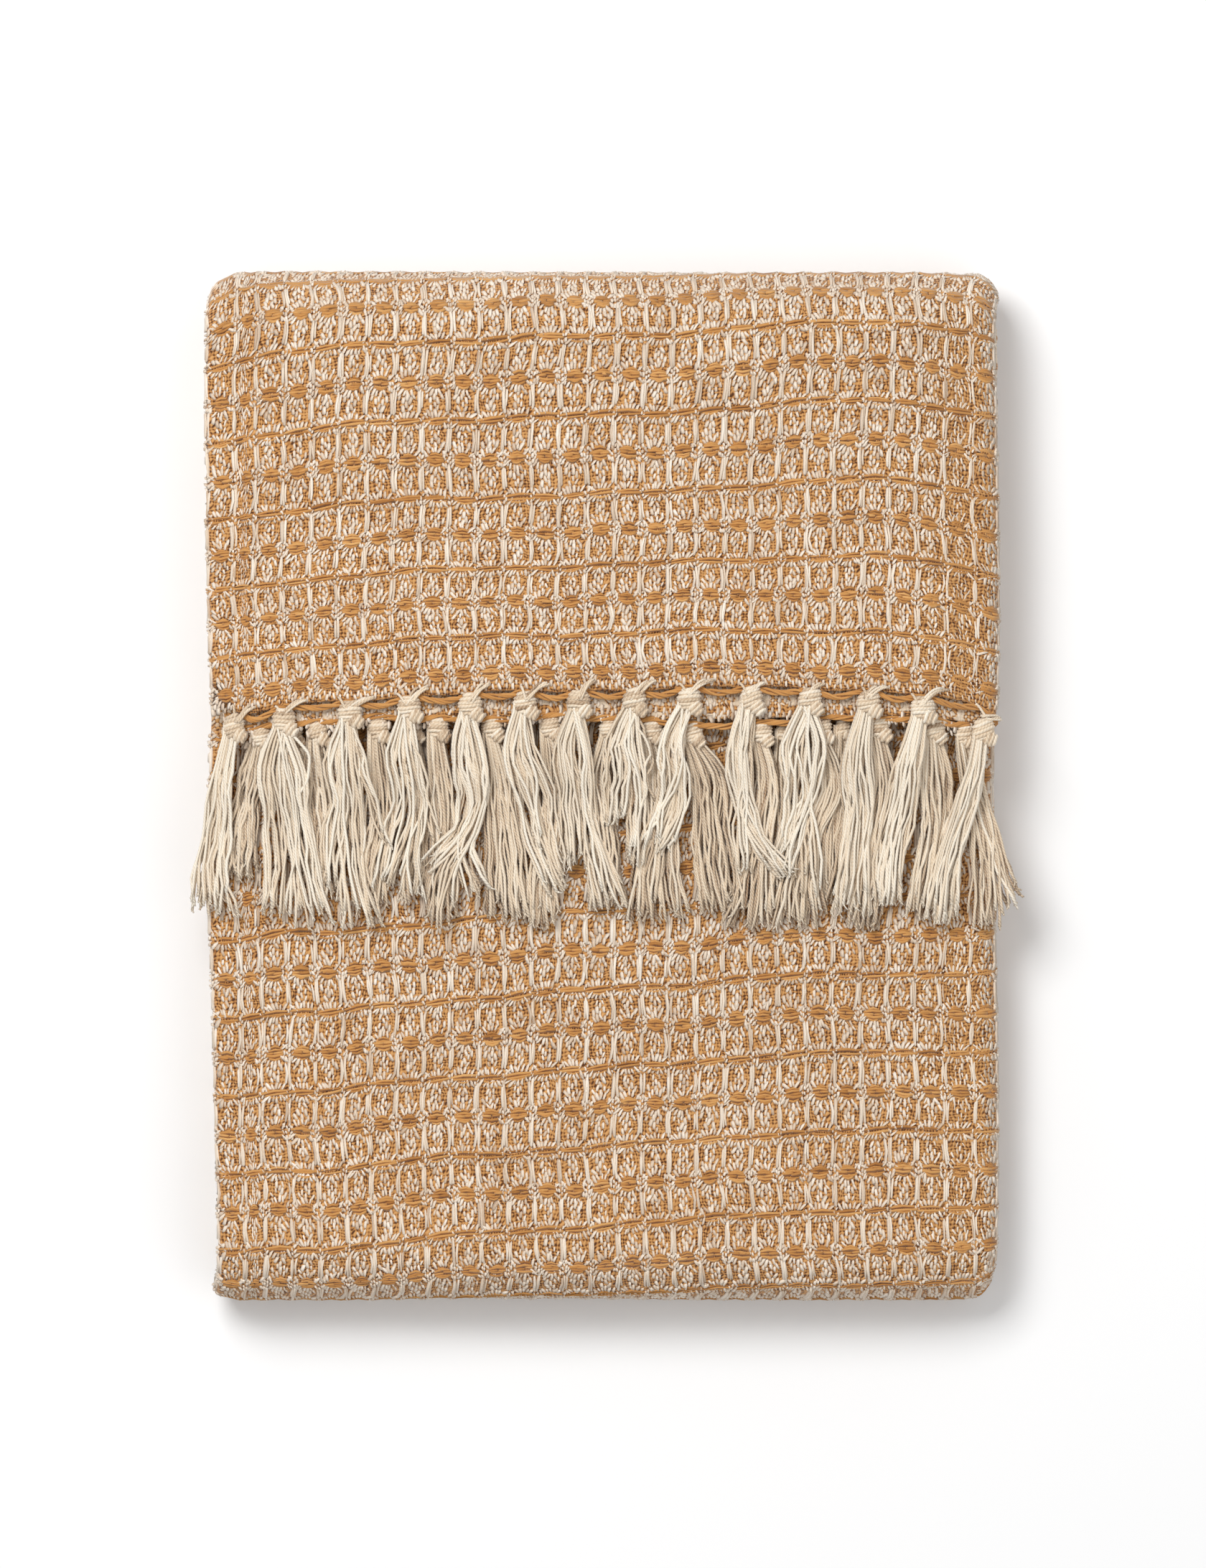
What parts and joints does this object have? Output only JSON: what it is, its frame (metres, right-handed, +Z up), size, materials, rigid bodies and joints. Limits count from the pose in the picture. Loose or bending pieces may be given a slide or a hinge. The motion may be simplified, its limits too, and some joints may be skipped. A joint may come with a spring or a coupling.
{
  "type": "folded waffle weave throw blanket",
  "caption": "Woven cotton throw folded into a flat rectangular stack, its top flap edged with knotted tassels.",
  "frame": {"origin": "middle of the box's base, on the flat underside of the folded cloth", "axes": "+Z up through the folded layers, +Y from the front fold towards the thick back fold, +X along the flap's tasselled edge"},
  "size_m": [0.331, 0.4188, 0.0603],
  "materials": {
    "waffle_weave": "matt waffle weave of thick cream and mustard cotton yarn",
    "fringe_yarn": "loosely twisted undyed cotton yarn, frayed at the ends"
  },
  "bodies": {
    "root": {"blanket": "waffle_weave", "tassel_top_01": "fringe_yarn", "tassel_top_02": "fringe_yarn", "tassel_top_03": "fringe_yarn", "tassel_top_04": "fringe_yarn", "tassel_top_05": "fringe_yarn", "tassel_top_06": "fringe_yarn", "tassel_top_07": "fringe_yarn", "tassel_top_08": "fringe_yarn", "tassel_top_09": "fringe_yarn", "tassel_top_10": "fringe_yarn", "tassel_top_11": "fringe_yarn", "tassel_top_12": "fringe_yarn", "tassel_top_13": "fringe_yarn", "tassel_top_14": "fringe_yarn", "tassel_second_01": "fringe_yarn", "tassel_second_02": "fringe_yarn", "tassel_second_03": "fringe_yarn", "tassel_second_04": "fringe_yarn", "tassel_second_05": "fringe_yarn", "tassel_second_06": "fringe_yarn", "tassel_second_07": "fringe_yarn", "tassel_second_08": "fringe_yarn", "tassel_second_09": "fringe_yarn", "tassel_second_10": "fringe_yarn", "tassel_second_11": "fringe_yarn", "tassel_second_12": "fringe_yarn", "tassel_second_13": "fringe_yarn", "tassel_second_14": "fringe_yarn", "tassel_third_01": "fringe_yarn", "tassel_third_02": "fringe_yarn", "tassel_third_03": "fringe_yarn", "tassel_third_04": "fringe_yarn"}
  },
  "joints": []
}
